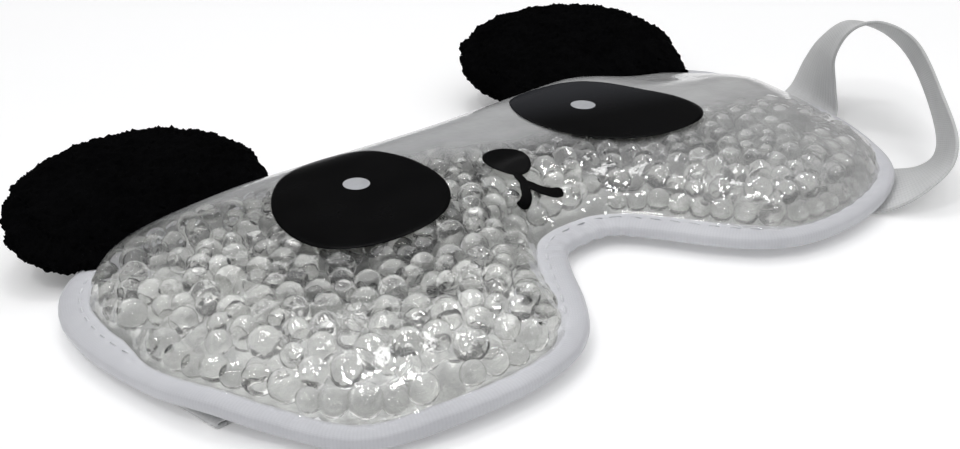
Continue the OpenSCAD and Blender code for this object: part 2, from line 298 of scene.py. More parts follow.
def add_mesh(name, points, faces, material, uv=None, smooth=True):
    mesh = bpy.data.meshes.new(name)
    mesh.from_pydata((np.asarray(points) * MM).tolist(), [], [tuple(f) for f in faces])
    if uv is not None:
        layer = mesh.uv_layers.new(name="along")
        corner = np.empty(len(mesh.loops), np.int32)
        mesh.loops.foreach_get("vertex_index", corner)
        layer.data.foreach_set("uv", np.asarray(uv, np.float32)[corner].ravel())
    mesh.polygons.foreach_set("use_smooth", [smooth] * len(mesh.polygons))
    mesh.materials.append(material)
    mesh.validate()
    mesh.update()
    piece = bpy.data.objects.new(name, mesh)
    bpy.context.scene.collection.objects.link(piece)
    return piece


def vertex_normals(points, faces):
    """Area-weighted normals of a triangle or quad mesh."""
    points = np.asarray(points, float)
    out = np.zeros_like(points)
    f = np.asarray(faces)
    n = np.cross(points[f[:, 2]] - points[f[:, 0]], points[f[:, -1]] - points[f[:, 1]] if f.shape[1] == 4
                 else points[f[:, 1]] - points[f[:, 0]] - (points[f[:, 2]] - points[f[:, 0]]))
    if f.shape[1] == 3:
        n = np.cross(points[f[:, 1]] - points[f[:, 0]], points[f[:, 2]] - points[f[:, 0]])
    for k in range(f.shape[1]):
        np.add.at(out, f[:, k], n)
    return out / np.maximum(np.linalg.norm(out, axis=1), 1e-12)[:, None]


def closed_shell(points, faces, under):
    """A closed solid between an open surface and the surface under it."""
    n = len(points)
    faces = [tuple(f) for f in faces]
    edges = {}
    for f in faces:
        for a, b in zip(f, f[1:] + f[:1]):
            edges[(a, b)] = True
    walls = [(b, a, a + n, b + n) for (a, b) in edges if (b, a) not in edges]
    back = [tuple(k + n for k in reversed(f)) for f in faces]
    return np.vstack([points, under]), faces + back + walls


def tube_faces(rings, around, closed_run, closed_round=True):
    out = []
    for j in range(rings if closed_run else rings - 1):
        for i in range(around if closed_round else around - 1):
            k = (i + 1) % around
            m = (j + 1) % rings
            out.append((j * around + i, j * around + k, m * around + k, m * around + i))
    return out


# ---- Materials ----


class Look:
    """A material's node tree with short calls for its nodes and links."""

    def __init__(self, name):
        self.material = bpy.data.materials.new(name)
        self.material.use_nodes = True
        self.tree = self.material.node_tree
        self.tree.nodes.clear()
        self.out = self.add("ShaderNodeOutputMaterial")

    def add(self, kind, inputs=None, **settings):
        node = self.tree.nodes.new(kind)
        for k, v in settings.items():
            setattr(node, k, v)
        for k, v in (inputs or {}).items():
            self.set(node.inputs[k], v)
        return node

    def set(self, socket, value):
        if isinstance(value, bpy.types.NodeSocket):
            self.tree.links.new(value, socket)
        else:
            socket.default_value = value

    def noise(self, scale, detail=3, vector=None):
        node = self.add("ShaderNodeTexNoise", {"Scale": scale, "Detail": detail})
        self.set(node.inputs["Vector"], vector or self.place())
        return node.outputs["Fac"]

    def place(self):
        return self.add("ShaderNodeTexCoord").outputs["Object"]

    def along(self):
        return self.add("ShaderNodeUVMap", uv_map="along").outputs["UV"]

    def wave(self, scale, vector, direction="X", distortion=0.0):
        node = self.add(
            "ShaderNodeTexWave",
            {"Scale": scale, "Vector": vector, "Distortion": distortion},
            bands_direction=direction,
        )
        return node.outputs["Fac"]

    def ramp(self, fac, *stops):
        node = self.add("ShaderNodeValToRGB", {"Fac": fac})
        marks = node.color_ramp.elements
        while len(marks) < len(stops):
            marks.new(0.5)
        for mark, (at, colour) in zip(marks, stops):
            mark.position = at
            mark.color = (*colour, 1) if isinstance(colour, tuple) else (colour, colour, colour, 1)
        return node.outputs["Color"]

    def maths(self, operation, a, b=0.0):
        node = self.add("ShaderNodeMath", operation=operation)
        self.set(node.inputs[0], a)
        self.set(node.inputs[1], b)
        return node.outputs[0]

    def bump(self, height, strength, distance_mm, normal=None):
        node = self.add("ShaderNodeBump", {"Height": height, "Strength": strength, "Distance": distance_mm * MM})
        if normal:
            self.set(node.inputs["Normal"], normal)
        return node.outputs["Normal"]

    def towards_brow(self, low, high, start_mm, end_mm):
        """A value that grows from low to high up the face, sooner on the right than on the left."""
        split = self.add("ShaderNodeSeparateXYZ", {"Vector": self.place()})
        up_face = self.maths("ADD", split.outputs["Y"], self.maths("MULTIPLY", split.outputs["X"], BROW_SKEW))
        limits = {"Value": up_face, "From Min": start_mm * MM, "From Max": end_mm * MM, "To Min": low, "To Max": high}
        return self.add("ShaderNodeMapRange", limits, interpolation_type="SMOOTHSTEP").outputs["Result"]

    def glance(self, low, high, normal=None):
        """Share of light a thin clear skin reflects, low face on and high at a glancing angle."""
        facing = self.add("ShaderNodeLayerWeight", {"Blend": 0.5})
        if normal:
            self.set(facing.inputs["Normal"], normal)
        steep = self.maths("POWER", facing.outputs["Facing"], 4.0)
        return self.maths("ADD", self.maths("MULTIPLY", steep, high), low)

    def finish(self, shader):
        self.tree.links.new(shader, self.out.inputs["Surface"])
        return self.material


def fabric(name, dark, light, blotch, weave=None, rough=0.75, sheen=0.3, pile=None, shine=0.3):
    """Cloth with a tint that drifts between two colours, an optional weave along its length with painted shade in its
    grooves, and a pile.
    """
    look = Look(name)
    colour = look.ramp(look.noise(blotch, 4), (0.3, dark), (0.7, light))
    normal = None
    if weave:
        along = look.along()
        ribs = look.wave(weave[0], along, "X", 0.4)
        cross = look.wave(weave[1], along, "Y", 0.6)
        height = look.maths("ADD", look.maths("MULTIPLY", ribs, 0.6), look.maths("MULTIPLY", cross, 0.4))
        normal = look.bump(height, weave[2], 0.12)
        # Painted shade: the colour is darkened in the weave's grooves, following the bump height
        shade = look.ramp(height, (0.0, weave[3]), (0.6, 1.0))
        mixed = look.add("ShaderNodeMix", data_type="RGBA", blend_type="MULTIPLY")
        mixed.inputs["Factor"].default_value = 1.0
        look.set(mixed.inputs["A"], colour)
        look.set(mixed.inputs["B"], shade)
        colour = mixed.outputs["Result"]
    if pile:
        normal = look.bump(look.noise(pile[0], 6), pile[1], pile[2], normal)
    shader = look.add(
        "ShaderNodeBsdfPrincipled",
        {"Base Color": colour, "Roughness": rough, "Sheen Weight": sheen, "Sheen Roughness": 0.45,
         "Specular IOR Level": shine},
    )
    if normal:
        look.set(shader.inputs["Normal"], normal)
    return look.finish(shader.outputs["BSDF"])


def see_through(look, shader, shade):
    """Lets light through to what lies under a clear piece, dimmed by shade."""
    path = look.add("ShaderNodeLightPath")
    clear = look.add("ShaderNodeBsdfTransparent", {"Color": (shade, shade, shade, 1)})
    mix = look.add("ShaderNodeMixShader", {"Fac": path.outputs["Is Shadow Ray"]})
    look.tree.links.new(shader, mix.inputs[1])
    look.tree.links.new(clear.outputs[0], mix.inputs[2])
    return mix.outputs[0]


def gel_look():
    look = Look("gel_bead_clear")
    swirl = look.noise(380, 3)
    normal = look.bump(swirl, 0.35, 0.25)
    glass = look.add(
        "ShaderNodeBsdfGlass", {"Color": (0.99, 0.99, 0.987, 1), "Roughness": 0.0, "IOR": 1.3, "Normal": normal}
    )
    return look.finish(see_through(look, glass.outputs[0], 0.97))


def film_look():
    look = Look("clear_film")
    place = look.place()
    wrinkles = look.noise(90, 3, place)
    fine = look.noise(700, 2, place)
    height = look.maths("ADD", wrinkles, look.maths("MULTIPLY", fine, 0.22))
    normal = look.bump(height, 0.5, 0.6)
    gloss = look.add("ShaderNodeBsdfGlossy", {"Color": (1, 1, 1, 1), "Roughness": 0.025, "Normal": normal})
    across = look.add("ShaderNodeSeparateXYZ", {"Vector": place}).outputs["X"]
    to_right = look.add("ShaderNodeMapRange", {"Value": across, "From Min": 0.0, "From Max": 0.085}).outputs["Result"]
    # Towards the right the clear part of the film lets less light through, and its milk turns paler
    dimmer_to_right = look.ramp(to_right, (0.0, (0.99, 0.99, 0.988)), (1.0, (0.82, 0.82, 0.817)))
    clear = look.add("ShaderNodeBsdfTransparent", {"Color": dimmer_to_right})
    pale = look.ramp(to_right, (0.0, (0.53, 0.535, 0.54)), (1.0, (0.69, 0.69, 0.69)))
    milk = look.add("ShaderNodeBsdfDiffuse", {"Color": pale, "Normal": normal})
    rise_to_brow = look.towards_brow(0.03, 0.7, -3, 19)
    haze = look.maths("MAXIMUM", rise_to_brow, look.maths("MULTIPLY", to_right, 0.42))
    cloud = look.maths("MULTIPLY", haze, look.ramp(look.noise(55, 3, place), (0.3, 0.7), (0.7, 1.15)))
    body = look.add("ShaderNodeMixShader", {"Fac": cloud})
    look.tree.links.new(clear.outputs[0], body.inputs[1])
    look.tree.links.new(milk.outputs[0], body.inputs[2])
    skin = look.add("ShaderNodeMixShader", {"Fac": look.glance(0.035, 0.75, normal)})
    look.tree.links.new(body.outputs[0], skin.inputs[1])
    look.tree.links.new(gloss.outputs[0], skin.inputs[2])
    return look.finish(see_through(look, skin.outputs[0], 0.97))


def back_film_look():
    look = Look("back_film_clear")
    gloss = look.add("ShaderNodeBsdfGlossy", {"Roughness": 0.15})
    clear = look.add("ShaderNodeBsdfTransparent", {"Color": (0.82, 0.823, 0.812, 1)})
    mix = look.add("ShaderNodeMixShader", {"Fac": look.ramp(look.noise(120, 2), (0.3, 0.05), (0.7, 0.12))})
    look.tree.links.new(clear.outputs[0], mix.inputs[1])
    look.tree.links.new(gloss.outputs[0], mix.inputs[2])
    return look.finish(mix.outputs[0])


def ink_look():
    look = Look("black_ink_under_gloss")
    place = look.place()
    normal = look.bump(look.noise(240, 3, place), 0.12, 0.3)
    rough = look.ramp(look.noise(60, 3, place), (0.3, 0.16), (0.7, 0.3))
    # Painted sheen: the ink's colour greys towards the brow, partly for the milky film over it and partly in place of
    # a reflection there
    haze_and_painted_sheen = look.ramp(look.towards_brow(0, 1, 12, 42), (0.0, (0.001, 0.001, 0.0012)), (1.0, (0.030, 0.031, 0.035)))
    shader = look.add(
        "ShaderNodeBsdfPrincipled",
        {"Base Color": haze_and_painted_sheen, "Roughness": rough, "Normal": normal, "Specular IOR Level": 0.035},
    )
    return look.finish(shader.outputs["BSDF"])


def window_look():
    look = Look("frosted_window")
    colour = look.ramp(look.noise(400, 3), (0.3, (0.42, 0.43, 0.45)), (0.7, (0.50, 0.51, 0.53)))
    shader = look.add("ShaderNodeBsdfPrincipled", {"Base Color": colour, "Roughness": 0.35})
    return look.finish(shader.outputs["BSDF"])


BINDING = fabric("white_satin_tape", (0.545, 0.55, 0.58), (0.62, 0.625, 0.655), 60,
                 weave=(4.6, 5.4, 0.3, 0.94), rough=0.5, sheen=0.3)
THREAD = fabric("white_thread", (0.56, 0.565, 0.59), (0.66, 0.665, 0.69), 900, rough=0.6, sheen=0.3,
                pile=(2500, 0.5, 0.1))
BACKING = fabric("white_fleece", (0.74, 0.74, 0.77), (0.85, 0.85, 0.87), 45, rough=0.95, sheen=0.6,
                 pile=(1400, 0.8, 0.4))
PLUSH = fabric("black_plush", (0.0008, 0.0008, 0.001), (0.002, 0.002, 0.0023), 120, rough=1.0, sheen=0.0,
               pile=(1500, 0.8, 0.5), shine=0.02)
DARK_THREAD = fabric("black_thread", (0.01, 0.01, 0.012), (0.03, 0.03, 0.033), 900, rough=0.6, sheen=0.2,
                     pile=(2500, 0.5, 0.1))
WADDING = fabric("white_wadding", (0.75, 0.75, 0.74), (0.9, 0.9, 0.89), 150, rough=1.0, sheen=0.4,
                 pile=(700, 0.9, 0.6))
ELASTIC = fabric("grey_elastic", (0.55, 0.555, 0.555), (0.66, 0.665, 0.665), 50,
                 weave=(4.5, 3.3, 0.35, 0.92), rough=0.85, sheen=0.3)
GEL, FILM_SKIN, BACK_SKIN, INK, WINDOW = gel_look(), film_look(), back_film_look(), ink_look(), window_look()


# ---- Pouch ----


def sheet(name, edge, step, top_of, thickness, material):
    """A thin closed sheet over the face inside an outline, its upper side at height top_of."""
    xs = np.arange(math.floor(edge[:, 0].min()), edge[:, 0].max() + step, step)
    ys = np.arange(math.floor(edge[:, 1].min()), edge[:, 1].max() + step, step)
    p = np.stack(np.meshgrid(xs, ys), -1).reshape(-1, 2)
    keep = inside(edge, p).reshape(len(ys), len(xs))
    index = np.arange(len(p)).reshape(len(ys), len(xs))
    whole = keep[:-1, :-1] & keep[1:, :-1] & keep[:-1, 1:] & keep[1:, 1:]
    quads = np.stack([index[:-1, :-1][whole], index[:-1, 1:][whole], index[1:, 1:][whole], index[1:, :-1][whole]], 1)
    used, faces = np.unique(quads, return_inverse=True)
    faces = faces.reshape(quads.shape)
    p = p[used]
    points = np.column_stack([p, top_of(p)])
    points, faces = closed_shell(points, faces.tolist(), points - [0, 0, thickness])
    return add_mesh(name, points, faces, material)


front_film = sheet("front_film_skin", inset(EDGE, 2.2), 0.8, lambda p: sample(FILM, p), FILM_T, FILM_SKIN)
back_film = sheet("back_film_skin", inset(EDGE, 3.4), 2.0, lambda p: np.full(len(p), BACK_FILM_TOP), FILM_T, BACK_SKIN)


def backing_top(p):
    return np.full(len(p), box_mm("backing_panel")[1][2])


def backing_sheet():
    low, high = box_mm("backing_panel")
    piece = sheet("fleece_backing", inset(EDGE, 3.0), 1.0, backing_top, high[2] - low[2], BACKING)
    for v in piece.data.vertices:
        if v.co.z < (low[2] + high[2]) / 2 * MM:
            place = Vector((v.co.x, v.co.y, 0)) / MM
            v.co.z -= MM * (0.22 + 0.12 * noise.noise(place / 9) + 0.12 * noise.noise(place / 1.6))
    return piece


backing = backing_sheet()


def ball(levels):
    """Points and triangles of a unit sphere."""
    t = (1 + 5**0.5) / 2
    p = [(-1, t, 0), (1, t, 0), (-1, -t, 0), (1, -t, 0), (0, -1, t), (0, 1, t), (0, -1, -t), (0, 1, -t),
         (t, 0, -1), (t, 0, 1), (-t, 0, -1), (-t, 0, 1)]
    f = [(0, 11, 5), (0, 5, 1), (0, 1, 7), (0, 7, 10), (0, 10, 11), (1, 5, 9), (5, 11, 4), (11, 10, 2),
         (10, 7, 6), (7, 1, 8), (3, 9, 4), (3, 4, 2), (3, 2, 6), (3, 6, 8), (3, 8, 9), (4, 9, 5), (2, 4, 11),
         (6, 2, 10), (8, 6, 7), (9, 8, 1)]
    p = [np.array(v) / np.linalg.norm(v) for v in p]
    for _ in range(levels):
        middles, finer = {}, []
        for a, b, c in f:
            ends = []
            for u, v in ((a, b), (b, c), (c, a)):
                key = (min(u, v), max(u, v))
                if key not in middles:
                    m = p[u] + p[v]
                    middles[key] = len(p)
                    p.append(m / np.linalg.norm(m))
                ends.append(middles[key])
            ab, bc, ca = ends
            finer += [(a, ab, ca), (b, bc, ab), (c, ca, bc), (ab, bc, ca)]
        f = finer
    return np.array(p), np.array(f)


def bead_heap():
    unit, tris = ball(2)
    points = (bead_at[:, None, :] + bead_r[:, None, None] * unit[None]).reshape(-1, 3)
    faces = (tris[None] + len(unit) * np.arange(len(bead_at))[:, None, None]).reshape(-1, 3)
    return add_mesh("gel_bead_heap", points, faces.tolist(), GEL)


beads = bead_heap()

# ---- Printed face ----

PRINT_LIFT = 0.1
PRINT_T = 0.12
SMOOTH_FILM = blur(FILM, 2.2)
EGG = np.array([[57, -3], [54.5, -11.5], [47, -17], [37, -18], [27.5, -14.5], [20.5, -6], [17.5, 5], [18, 17],
                [22.5, 27], [30, 31.5], [38.5, 30.5], [46, 25.5], [52, 17.5], [56, 7.5]])


def print_height(p):
    return np.maximum(sample(SMOOTH_FILM, p), sample(DOME, p) + 0.08) + PRINT_LIFT


def printed(name, rings, faces_of=None):
    """Ink over a set of rings of the same length; the first ring may be a single place."""
    n = len(rings[0])
    p = np.vstack(rings)
    z = print_height(p)
    points = np.column_stack([p, z + PRINT_T])
    faces = [(j * n + i, j * n + (i + 1) % n, (j + 1) * n + (i + 1) % n, (j + 1) * n + i)
             for j in range(len(rings) - 1) for i in range(n)]
    return points, faces, np.column_stack([p, z])


def eye_patch(side, name, drift):
    """An inked egg with a clear window; drift is how far its outer tip has crept inwards on the slack film."""
    egg = resample(catmull(EGG * SCALE, 10, True), 1.0, True)[0]
    tip = smoothstep((egg[:, 0] - 42) / 14) * smoothstep((22 - egg[:, 1]) / 14)
    egg = egg + drift * tip[:, None] * [-1, -0.55]
    window = np.array([34.0, 11.0]) * SCALE
    d = egg - window
    u = d / np.linalg.norm(d, axis=1)[:, None]
    hole = window + u * [2.9, 3.5]
    rings = [hole + (egg - hole) * s for s in np.linspace(0, 1, 26)]
    inner = [window + (hole - window) * s for s in (0.05, 0.35, 0.68)]
    rings = [r * [side, 1] for r in inner + rings]
    points, faces, under = printed(name, rings)
    n = len(egg)
    faces.append(tuple(range(n))[::-1])
    if side > 0:
        faces = [f[::-1] for f in faces]
    points, faces = closed_shell(points, faces, under)
    piece = add_mesh(name, points, faces, INK)
    piece.data.materials.append(WINDOW)
    limit = (len(inner) + 0) * n
    total = len(rings) * n
    for f in piece.data.polygons:
        if all(v % total <= limit + n - 1 for v in f.vertices):
            f.material_index = 1
    return piece


left_eye = eye_patch(-1, "left_eye_ink", 0)
right_eye = eye_patch(1, "right_eye_ink", 2.0)


def nose_print():
    middle = np.array([-1.6, -2.2]) * SCALE
    turn = np.linspace(0, 2 * np.pi, 64, endpoint=False)
    shape = np.stack([5.2 * np.cos(turn), 6.2 * np.sin(turn)], 1)
    rings = [middle + shape * s for s in (0.04, 0.2, 0.4, 0.6, 0.8, 0.93, 1)]
    points, faces, under = printed("nose", rings)
    faces = [f[::-1] for f in faces]
    faces.append(tuple(range(64)))
    points, faces = closed_shell(points, faces, under)
    return add_mesh("nose_ink", points, faces, INK)


nose = nose_print()


def stroke(path, width):
    """Places across a stroke of even width with round ends."""
    path = resample(path, 0.4, False)[0]
    t = np.gradient(path, axis=0)
    t /= np.linalg.norm(t, axis=1)[:, None]
    side = np.stack([-t[:, 1], t[:, 0]], 1)
    run = np.concatenate([[0], np.cumsum(np.linalg.norm(np.diff(path, axis=0), axis=1))])
    end_gap = np.minimum(run, run[-1] - run)
    half = width / 2 * np.sqrt(np.clip(1 - (1 - np.clip(end_gap / (width / 2), 0.04, 1)) ** 2, 0, 1))
    return [path + side * (half * k)[:, None] for k in np.linspace(-1, 1, 7)]


def mouth_print():
    middle = -3.2
    stem = np.array([[middle, y] for y in (-7.4, -8.6, -9.8, -11)]) * SCALE
    curl = np.array([[-6.6, -16.6], [-4.4, -15.8], [-2.2, -14.0], [0, -11], [2.4, -13.4], [4.6, -15.0],
                     [7.0, -15.6]]) + [middle, 0]
    parts, faces, under = [], [], []
    for path in (stem, catmull(curl * SCALE, 6, False)):
        rows = stroke(path, 2.3)
        n, base = len(rows[0]), sum(len(p) for p in parts)
        p = np.vstack(rows)
        z = print_height(p)
        parts.append(np.column_stack([p, z + PRINT_T]))
        under.append(np.column_stack([p, z]))
        faces += [tuple(base + k for k in (j * n + i, j * n + i + 1, (j + 1) * n + i + 1, (j + 1) * n + i))
                  for j in range(len(rows) - 1) for i in range(n - 1)]
    points, faces = closed_shell(np.vstack(parts), faces, np.vstack(under))
    return add_mesh("mouth_ink", points, faces, INK)


mouth = mouth_print()

# ---- Binding and its stitches ----


def tape():
    line, along, total = resample(EDGE, 0.45, True)
    t = np.roll(line, -1, 0) - np.roll(line, 1, 0)
    t /= np.linalg.norm(t, axis=1)[:, None]
    inward = np.stack([-t[:, 1], t[:, 0]], 1)
    turn = np.arctan2(t[:, 1], t[:, 0])
    bend = np.unwrap(turn)
    bend = np.gradient(bend, along)
    window = np.ones(15) / 15
    bend = np.convolve(np.pad(bend, 7, "wrap"), window, "valid")
    thick = 0.62
    across = [6.5, 6.3, 5.9, 5.55, 5.2, 4.85, 4.5, 3.9, 3.2, 2.4, 1.6, 0.9, 0.42, 0.1]
    mid = (PAD_TOP + PAD_BOTTOM) / 2
    half = (PAD_TOP - PAD_BOTTOM) / 2
    outer = [(a, half * min(1, 0.62 + 0.38 * (a / 1.6) ** 0.6), a) for a in across]
    outer[-1] = (0.0, half * 0.45, 0.0)
    inner = [(a, max(half * min(1, 0.62 + 0.38 * (a / 1.6) ** 0.6) - thick, 0.3), a) for a in across[:-2]]
    section = (
        [(i, 1, h, 1) for i, h, _ in outer]
        + [(i, -1, h, 1) for i, h, _ in reversed(outer)]
        + [(i, -1, h, 0) for i, h, _ in inner]
        + [(max(i, thick), 1, h, 0) for i, h, _ in reversed(inner)]
    )
    count = max(1, round(total / STITCH_STEP))
    pucker = np.cos(2 * np.pi * along * count / total)
    places = np.column_stack([line / 14, np.zeros(len(line))])
    drift = np.array([noise.noise(Vector(p)) for p in places])
    small = np.array([noise.noise(Vector(p * 5)) for p in places])
    gather = smoothstep(-bend / 0.05)
    pleat = np.cos(2 * np.pi * along * round(total / 3.4) / total + 2 * drift)
    rolled = 1 - BULGE / BINDING_W * sample(front, line)
    points, uv = [], []
    girth = 0.0
    for k, (i, sign, h, out) in enumerate(section):
        seam = np.exp(-(((i - STITCH_INSET) / 0.75) ** 2))
        swell = 0.22 * math.sin(math.pi * min(1, i / BINDING_W)) * (1 - 0.8 * seam)
        lift = out * (swell + 0.1 * drift + 0.07 * small + 0.1 * seam * pucker
                      + 0.14 * gather * pleat * smoothstep(np.array((6.6 - i) / 3)) * (i > 0.3))
        width = i * (rolled if sign > 0 else 1)
        at = line + inward * (width + out * (0.12 * drift * (i > 5) + 0.08 * small))[:, None]
        z = mid + sign * (h + lift)
        points.append(np.column_stack([at, z]))
        if k:
            girth += abs(section[k][0] - section[k - 1][0]) + 0.15
        uv.append(np.column_stack([along / 10, np.full(len(line), girth / 10)]))
    n = len(section)
    points = np.stack(points, 1).reshape(-1, 3)
    uv = np.stack(uv, 1).reshape(-1, 2)
    return add_mesh("binding_cloth", points, tube_faces(len(line), n, True), BINDING, uv=uv)


binding = tape()


def rod(a, b, radius, droop, around=7, rings=7):
    """A thread dash from a to b, dipping at both ends."""
    a, b = np.asarray(a, float), np.asarray(b, float)
    t = (b - a) / np.linalg.norm(b - a)
    side = np.cross(UP, t)
    side /= np.linalg.norm(side)
    top = np.cross(t, side)
    turn = np.linspace(0, 2 * np.pi, around, endpoint=False)
    points = []
    for s in np.linspace(-1, 1, rings):
        r = radius * math.sqrt(max(0.06, 1 - abs(s) ** 5))
        middle = (a + b) / 2 + (b - a) / 2 * s + droop * abs(s) ** 3
        points.append(middle + r * (np.cos(turn)[:, None] * side + np.sin(turn)[:, None] * top))
    faces = tube_faces(rings, around, False)
    faces.append(tuple(range(around))[::-1])
    faces.append(tuple((rings - 1) * around + k for k in range(around)))
    return np.vstack(points), faces


def joined(name, parts, material):
    points, faces, base = [], [], 0
    for p, f in parts:
        points.append(p)
        faces += [tuple(base + k for k in q) for q in f]
        base += len(p)
    return add_mesh(name, np.vstack(points), faces, material)


def seam_stitches():
    seam, along, total = resample(inset(EDGE, STITCH_INSET), 0.25, True)
    count = round(resample(EDGE, 0.45, True)[2] / STITCH_STEP)
    parts = []
    for k in range(count):
        middle = (k + 0.5) * total / count
        ends = []
        for s in (-1.55, 1.55):
            i = int((middle + s) / total * len(seam)) % len(seam)
            ends.append(seam[i])
        # The bulging pouch hides the upper dashes along the front
        hidden = sample(front, np.array(ends))[0] > 0.35
        for z, sign in ((PAD_TOP + 0.12, 1), (PAD_BOTTOM - 0.1, -1))[1 if hidden else 0:]:
            a, b = [np.array([*e, z]) for e in ends]
            parts.append(rod(a, b, 0.24, np.array([0, 0, -0.28 * sign])))
    return joined("binding_thread", parts, THREAD)


stitches = seam_stitches()

# The left lobe is propped up by the strap's fold and hangs slack to the table beside it: place, reach and move
SETTLED = (((-72, -52), 12, (-0.8, -1.2, -1.0)), ((-89, -28), 10, (0, 0, 1.2)))
for soft in (front_film, back_film, backing, beads, binding, stitches):
    for v in soft.data.vertices:
        at = v.co.xy / MM
        for spot, reach, move in SETTLED:
            away = (at - Vector(spot) * SCALE).length
            v.co += Vector(move) * (MM * math.exp(-((away / reach) ** 2)))

# ---- Ears ----

EAR = np.array([[-20, 0.8], [-26, 6], [-29.5, 16], [-27, 27], [-19, 36.5], [-7, 41.3], [6, 41.6], [18, 37.2],
                [26.5, 28], [29.5, 16.5], [26.5, 6.5], [20, 0.8], [8, 0.6], [-8, 0.6]]) * [-65 / 59, 38 / 42]
EAR_HUB = np.array([0.0, 18.0])
EAR_HALF = 5.5
EAR_PIVOT = {j["name"]: j for j in frame["joints"]}


def ear_matrix(side, tilt, shift):
    joint = EAR_PIVOT["left_ear_flop" if side < 0 else "right_ear_flop"]
    place = Vector(joint["pos_m"]) / MM + Vector(shift)
    yaw = math.atan2(joint["axis"][1], joint["axis"][0])
    return Matrix.Translation(place) @ Matrix.Rotation(yaw, 4, "Z") @ Matrix.Rotation(tilt, 4, "X")


def ear_body(seed):
    """Points and quads of a stuffed ear lying in its own plane, in millimetres."""
    outline = resample(catmull(EAR, 8, True), 2.6, True)[0]
    steps = [0.12, 0.3, 0.48, 0.64, 0.78, 0.88, 0.95, 0.99]
    rings, heights = [], []
    for s in steps:
        rings.append(EAR_HUB + (outline - EAR_HUB) * s)
        heights.append((EAR_HALF - 1.2) * math.sqrt(1 - s**2.4))
    n = len(outline)
    points = [np.column_stack([r, np.full(n, h)]) for r, h in zip(rings, heights)]
    points += [np.column_stack([r, np.full(n, -h)]) for r, h in zip(rings[::-1], heights[::-1])]
    points = np.vstack(points)
    faces = tube_faces(2 * len(steps), n, False)
    faces.append(tuple(range(n))[::-1])
    faces.append(tuple((2 * len(steps) - 1) * n + k for k in range(n)))
    piece = add_mesh(f"ear_form_{seed}", points, [f[::-1] for f in faces], PLUSH)
    bpy.context.view_layer.objects.active = piece
    remesh = piece.modifiers.new("even", "REMESH")
    remesh.mode = "VOXEL"
    remesh.voxel_size = 2.6 * MM
    bpy.ops.object.modifier_apply(modifier="even")
    rest = np.array([v.co for v in piece.data.vertices])
    seam = piece.vertex_groups.new(name="seam")
    held = [i for i, p in enumerate(rest / MM) if abs(p[2]) < 0.9]
    seam.add(held, 1.0, "REPLACE")
    cloth = piece.modifiers.new("stuffing", "CLOTH")
    cloth.settings.quality = 6
    cloth.settings.mass = 0.15
    cloth.settings.tension_stiffness = 12
    cloth.settings.compression_stiffness = 6
    cloth.settings.bending_stiffness = 0.3
    cloth.settings.use_pressure = True
    cloth.settings.uniform_pressure_force = 4
    cloth.settings.vertex_group_mass = "seam"
    cloth.settings.effector_weights.gravity = 0
    cloth.point_cache.frame_start, cloth.point_cache.frame_end = 1, 20
    for f in range(1, 21):
        bpy.context.scene.frame_set(f)
    bpy.ops.object.modifier_apply(modifier="stuffing")
    bpy.context.scene.frame_set(1)
    now = np.array([v.co for v in piece.data.vertices])
    move = now - rest
    size = np.linalg.norm(move, axis=1)[:, None]
    move *= np.minimum(1, 2.2 * MM / np.maximum(size, 1e-9))
    piece.data.vertices.foreach_set("co", (rest + move).ravel())
    fine = piece.modifiers.new("fine", "SUBSURF")
    fine.levels = 2
    bpy.ops.object.modifier_apply(modifier="fine")
    mesh = piece.data
    points = np.array([v.co for v in mesh.vertices]) / MM
    faces = [tuple(p.vertices) for p in mesh.polygons]
    bpy.data.objects.remove(piece)
    return points, faces


def fur(points, normals, seed):
    """Points moved out along their normals into the clumps and tips of a plush pile."""
    out = np.empty(len(points))
    for i, p in enumerate(points):
        q = Vector(p) + Vector((31.0 * seed, 0, 0))
        clump = noise.noise(q / 3.4)
        tip = abs(noise.noise(q / 0.9))
        hair = noise.noise(q / 0.45)
        out[i] = 0.9 + 0.45 * clump + 0.9 * tip + 0.6 * hair
    comb = rng.normal(0, 0.13, points.shape)
    return points + normals * out[:, None] + comb


def lay_on_binding(p):
    """Keeps the plush above the binding and the film where the ear laps over the pad."""
    reach = distance(EDGE, p[:, :2])
    floor_z = np.maximum(PAD_TOP + 0.45, sample(DOME, p[:, :2]) + 0.35)
    w = smoothstep((reach + 2.0) / 2.5)
    p[:, 2] = np.where(w > 0, np.maximum(p[:, 2], p[:, 2] * (1 - w) + floor_z * w), p[:, 2])
    return p


def build_ear(side, name, tilt, shift, stretch, lean, lap, seed):
    points, faces = ear_body(seed)
    points = points * [stretch, 1, 1]
    points[:, 0] -= lean * points[:, 1]
    quads = np.array([f if len(f) == 4 else (*f, f[-1]) for f in faces])
    normals = vertex_normals(points, quads)
    front_side = np.array([points[list(f)][:, 2].mean() >= 0 for f in faces])
    wooly = fur(points, normals, seed)
    m = np.array(ear_matrix(side, tilt, shift))

    def put(p):
        hem = smoothstep((12 - p[:, 1]) / 14)
        p = p + hem[:, None] * [0, -lap, 0.3 * lap]
        return lay_on_binding(p @ m[:3, :3].T + m[:3, 3])

    made = {}
    for part, chosen in (("front", front_side), ("back", ~front_side)):
        mine = [f for f, c in zip(faces, chosen) if c]
        used, index = np.unique(np.array([k for f in mine for k in f]), return_inverse=True)
        at, local = 0, []
        for f in mine:
            local.append(tuple(int(k) for k in index[at:at + len(f)]))
            at += len(f)
        inner = points[used] - normals[used] * 1.1
        inner[:, 2] = np.maximum(inner[:, 2], 0.03) if part == "front" else np.minimum(inner[:, 2], -0.03)
        p, f = closed_shell(put(wooly[used]), local, put(inner))
        made[part] = add_mesh(f"{name}_ear_{part}_plush", p, f, PLUSH)
    wad = (points - normals * 2.0) * [1, 1, 0.85]
    made["filling"] = add_mesh(f"{name}_ear_wadding", put(wad), faces, WADDING)
    return made


EAR_TILT = math.radians(27)
left_ear = build_ear(-1, "left", math.radians(23), (1.5, -9.0, 0.0), 1.0, 0.08, 2.5, 1)
right_ear = build_ear(1, "right", EAR_TILT, (3.6, -7.4, -0.2), 1.06, 0.2, 9.5, 2)


